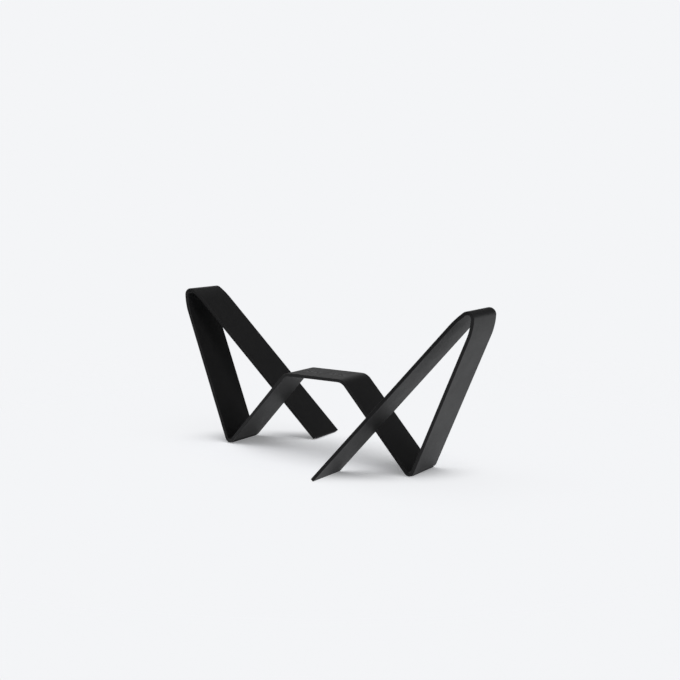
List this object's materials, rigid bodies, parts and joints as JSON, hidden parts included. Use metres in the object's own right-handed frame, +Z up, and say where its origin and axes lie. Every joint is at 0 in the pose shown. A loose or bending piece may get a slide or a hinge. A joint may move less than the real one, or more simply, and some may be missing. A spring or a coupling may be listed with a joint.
{
  "type": "book stand",
  "caption": "Book stand of black steel flat bar folded into a crossing zigzag: a low saddle takes the spine of an open book and raised crests carry its boards.",
  "frame": {"origin": "on the floor under the middle of the saddle, on the two-fold axis", "axes": "+X to the crest whose leg is in front, +Y along the fold lines to the back, +Z up"},
  "size_m": [0.3528, 0.1984, 0.1461],
  "materials": {
    "black_coat": "satin fine-texture powder coat",
    "black_steel": "black oxide",
    "pad_film": "matt"
  },
  "bodies": {
    "root": {"right_ribbon": "black_coat", "left_ribbon": "black_coat", "splice_plate": "black_coat", "splice_screws": "black_steel", "right_foot_pad": "pad_film", "left_foot_pad": "pad_film", "right_toe_pad": "pad_film", "left_toe_pad": "pad_film"}
  },
  "joints": []
}
